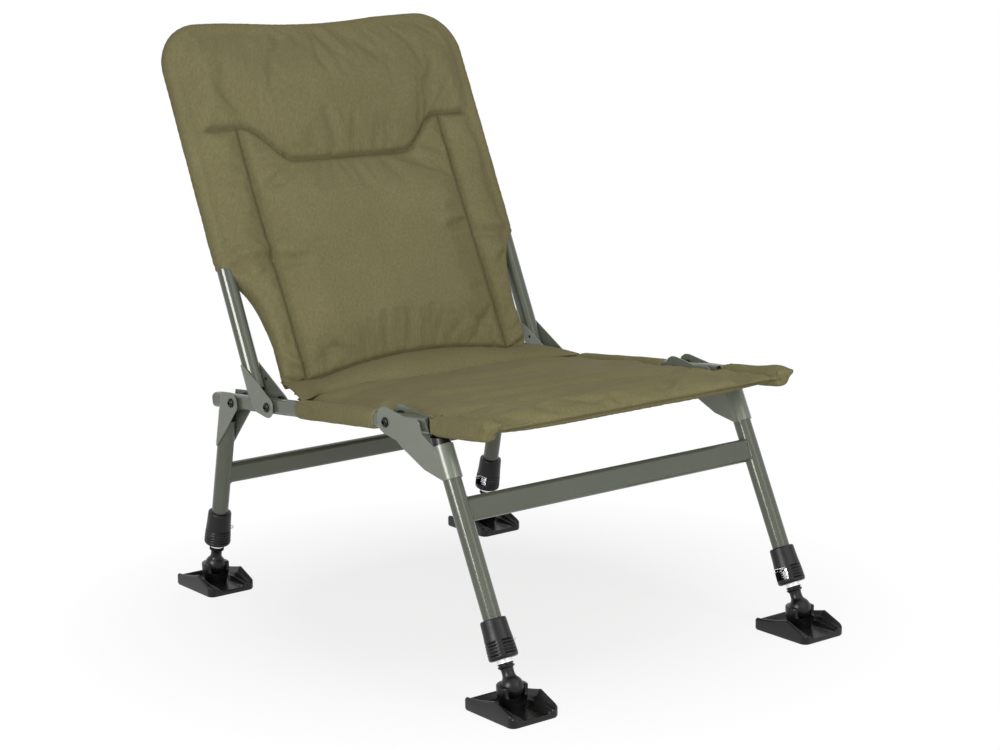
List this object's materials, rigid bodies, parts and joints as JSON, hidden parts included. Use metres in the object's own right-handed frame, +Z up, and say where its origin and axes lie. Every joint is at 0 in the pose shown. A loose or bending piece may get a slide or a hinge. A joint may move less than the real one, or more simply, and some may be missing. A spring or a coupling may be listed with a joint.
{
  "type": "carp fishing chair",
  "caption": "Low folding fishing chair: padded back and seat on a tubular steel frame, with telescopic legs held by spring clips and wide mud feet on ball joints.",
  "frame": {"origin": "on the ground, under the middle of the chair's box", "axes": "+X to the sitter's left, +Y to the rear, +Z up"},
  "size_m": [0.576, 0.8624, 0.823],
  "materials": {
    "frame": "satin powder coat, grey green",
    "bracket": "satin powder coat, light grey green",
    "black_plastic": "moulded, matt black",
    "black_steel": "blackened steel",
    "bright_steel": "bright steel",
    "cloth": "woven polyester, olive"
  },
  "bodies": {
    "seat_frame": {"seat_rail_left": "frame", "rail_rear_cap_left": "frame", "rail_front_cap_left": "black_plastic", "seat_rail_right": "frame", "rail_rear_cap_right": "frame", "rail_front_cap_right": "black_plastic", "front_pivot_bolt_left": "black_steel", "front_pivot_nut_left": "black_steel", "front_pivot_bolt_right": "black_steel", "front_pivot_nut_right": "black_steel", "back_pivot_bolt_left": "black_steel", "back_pivot_nut_left": "black_steel", "back_pivot_bolt_right": "black_steel", "back_pivot_nut_right": "black_steel", "rear_pivot_bolt_left": "black_steel", "rear_pivot_nut_left": "black_steel", "rear_pivot_bolt_right": "black_steel", "rear_pivot_nut_right": "black_steel", "seat_cloth": "cloth"},
    "front_legs": {"front_leg_left": "frame", "front_leg_right": "frame", "front_leg_bracket_left": "bracket", "front_leg_bracket_right": "bracket", "front_leg_plug_left": "black_plastic", "front_leg_plug_right": "black_plastic", "front_crossbar": "frame", "adjuster_housing_front_left": "black_plastic", "adjuster_housing_front_right": "black_plastic"},
    "rear_legs": {"rear_leg_left": "frame", "rear_leg_right": "frame", "rear_leg_bracket_left": "bracket", "rear_leg_bracket_right": "bracket", "rear_leg_plug_left": "black_plastic", "rear_leg_plug_right": "black_plastic", "rear_crossbar": "frame", "adjuster_housing_rear_left": "black_plastic", "adjuster_housing_rear_right": "black_plastic"},
    "back": {"back_frame": "frame", "back_cushion": "cloth", "back_bracket_left": "bracket", "back_bracket_right": "bracket", "back_tube_plug_left": "black_plastic", "back_tube_plug_right": "black_plastic"},
    "inner_front_left": {"inner_leg_front_left": "bright_steel", "foot_stem_front_left": "black_plastic"},
    "foot_front_left": {"mud_foot_front_left": "black_plastic"},
    "clip_front_left": {"spring_clip_front_left": "bright_steel"},
    "inner_front_right": {"inner_leg_front_right": "bright_steel", "foot_stem_front_right": "black_plastic"},
    "foot_front_right": {"mud_foot_front_right": "black_plastic"},
    "clip_front_right": {"spring_clip_front_right": "bright_steel"},
    "inner_rear_left": {"inner_leg_rear_left": "bright_steel", "foot_stem_rear_left": "black_plastic"},
    "foot_rear_left": {"mud_foot_rear_left": "black_plastic"},
    "clip_rear_left": {"spring_clip_rear_left": "bright_steel"},
    "inner_rear_right": {"inner_leg_rear_right": "bright_steel", "foot_stem_rear_right": "black_plastic"},
    "foot_rear_right": {"mud_foot_rear_right": "black_plastic"},
    "clip_rear_right": {"spring_clip_rear_right": "bright_steel"}
  },
  "joints": [
    {"name": "front_leg_fold", "type": "hinge", "parent": "seat_frame", "child": "front_legs", "pos_m": [0, -0.14248, 0.3311], "axis": [1, 0, 0], "range_deg": [0, 110]},
    {"name": "rear_leg_fold", "type": "hinge", "parent": "seat_frame", "child": "rear_legs", "pos_m": [0, 0.24192, 0.29382], "axis": [1, 0, 0], "range_deg": [-100, 0]},
    {"name": "back_fold", "type": "hinge", "parent": "seat_frame", "child": "back", "pos_m": [0, 0.14637, 0.30308], "axis": [1, 0, 0], "range_deg": [0, 98]},
    {"name": "leg_extension_front_left", "type": "slide", "parent": "front_legs", "child": "inner_front_left", "axis": [0, 0.4337, 0.9011], "range_m": [-0.1, 0]},
    {"name": "foot_tilt_front_left", "type": "hinge", "parent": "inner_front_left", "child": "foot_front_left", "pos_m": [0.25, -0.38317, 0.0346], "axis": [1, 0, 0], "range_deg": [-15, 15]},
    {"name": "clip_pull_front_left", "type": "slide", "parent": "front_legs", "child": "clip_front_left", "axis": [-1, 0, 0], "range_m": [0, 0.005], "stiffness_N_per_m": 400},
    {"name": "leg_extension_front_right", "type": "slide", "parent": "front_legs", "child": "inner_front_right", "axis": [0, 0.4337, 0.9011], "range_m": [-0.1, 0]},
    {"name": "foot_tilt_front_right", "type": "hinge", "parent": "inner_front_right", "child": "foot_front_right", "pos_m": [-0.25, -0.38317, 0.0346], "axis": [1, 0, 0], "range_deg": [-15, 15]},
    {"name": "clip_pull_front_right", "type": "slide", "parent": "front_legs", "child": "clip_front_right", "axis": [1, 0, 0], "range_m": [0, 0.005], "stiffness_N_per_m": 400},
    {"name": "leg_extension_rear_left", "type": "slide", "parent": "rear_legs", "child": "inner_rear_left", "axis": [0, -0.2241, 0.9746], "range_m": [-0.1, 0]},
    {"name": "foot_tilt_rear_left", "type": "hinge", "parent": "inner_rear_left", "child": "foot_rear_left", "pos_m": [0.25, 0.3282, 0.0346], "axis": [1, 0, 0], "range_deg": [-15, 15]},
    {"name": "clip_pull_rear_left", "type": "slide", "parent": "rear_legs", "child": "clip_rear_left", "axis": [-1, 0, 0], "range_m": [0, 0.005], "stiffness_N_per_m": 400},
    {"name": "leg_extension_rear_right", "type": "slide", "parent": "rear_legs", "child": "inner_rear_right", "axis": [0, -0.2241, 0.9746], "range_m": [-0.1, 0]},
    {"name": "foot_tilt_rear_right", "type": "hinge", "parent": "inner_rear_right", "child": "foot_rear_right", "pos_m": [-0.25, 0.3282, 0.0346], "axis": [1, 0, 0], "range_deg": [-15, 15]},
    {"name": "clip_pull_rear_right", "type": "slide", "parent": "rear_legs", "child": "clip_rear_right", "axis": [1, 0, 0], "range_m": [0, 0.005], "stiffness_N_per_m": 400}
  ]
}
